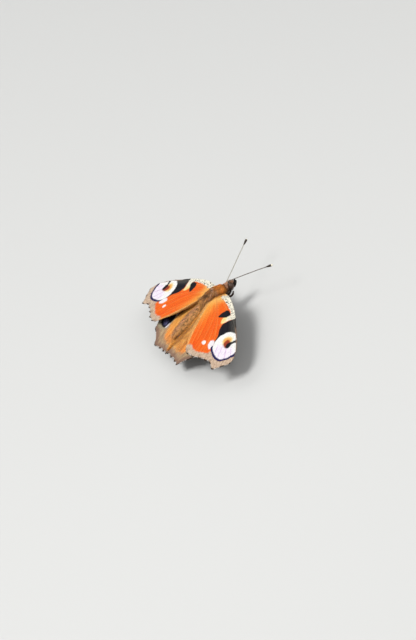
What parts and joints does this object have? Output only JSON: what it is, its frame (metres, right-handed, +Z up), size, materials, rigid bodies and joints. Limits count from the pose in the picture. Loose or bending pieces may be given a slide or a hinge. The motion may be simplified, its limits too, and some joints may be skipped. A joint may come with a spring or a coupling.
{
  "type": "peacock butterfly",
  "caption": "Life-size butterfly standing with its wings spread and swept back, with eyespots on all four wings.",
  "frame": {"origin": "on the floor under the middle of the whole animal", "axes": "+Z up, the head towards -Y, the animal's left side towards +X"},
  "size_m": [0.0654, 0.0392, 0.0106],
  "materials": {
    "wing_scales": "matt scales in orange-red, black, brown and pale blue",
    "body_fur": "soft rusty brown hair",
    "eye": "finely facetted dark compound eye",
    "antenna": "dark ringed shaft with a pale tip",
    "tongue": "smooth dark brown",
    "leg": "brown, finely haired"
  },
  "bodies": {
    "root": {"head": "body_fur", "thorax": "body_fur", "abdomen": "body_fur", "proboscis": "tongue", "eye_left": "eye", "eye_right": "eye", "palp_left": "body_fur", "palp_right": "body_fur", "antenna_left": "antenna", "antenna_right": "antenna", "forewing_left": "wing_scales", "forewing_right": "wing_scales", "hindwing_left": "wing_scales", "hindwing_right": "wing_scales", "foreleg_left": "leg", "foreleg_right": "leg", "midleg_coxa_left": "leg", "midleg_coxa_right": "leg", "midleg_femur_left": "leg", "midleg_femur_right": "leg", "midleg_tibia_left": "leg", "midleg_tibia_right": "leg", "midleg_tarsus_left": "leg", "midleg_tarsus_right": "leg", "hindleg_coxa_left": "leg", "hindleg_coxa_right": "leg", "hindleg_femur_left": "leg", "hindleg_femur_right": "leg", "hindleg_tibia_left": "leg", "hindleg_tibia_right": "leg", "hindleg_tarsus_left": "leg", "hindleg_tarsus_right": "leg"}
  },
  "joints": []
}
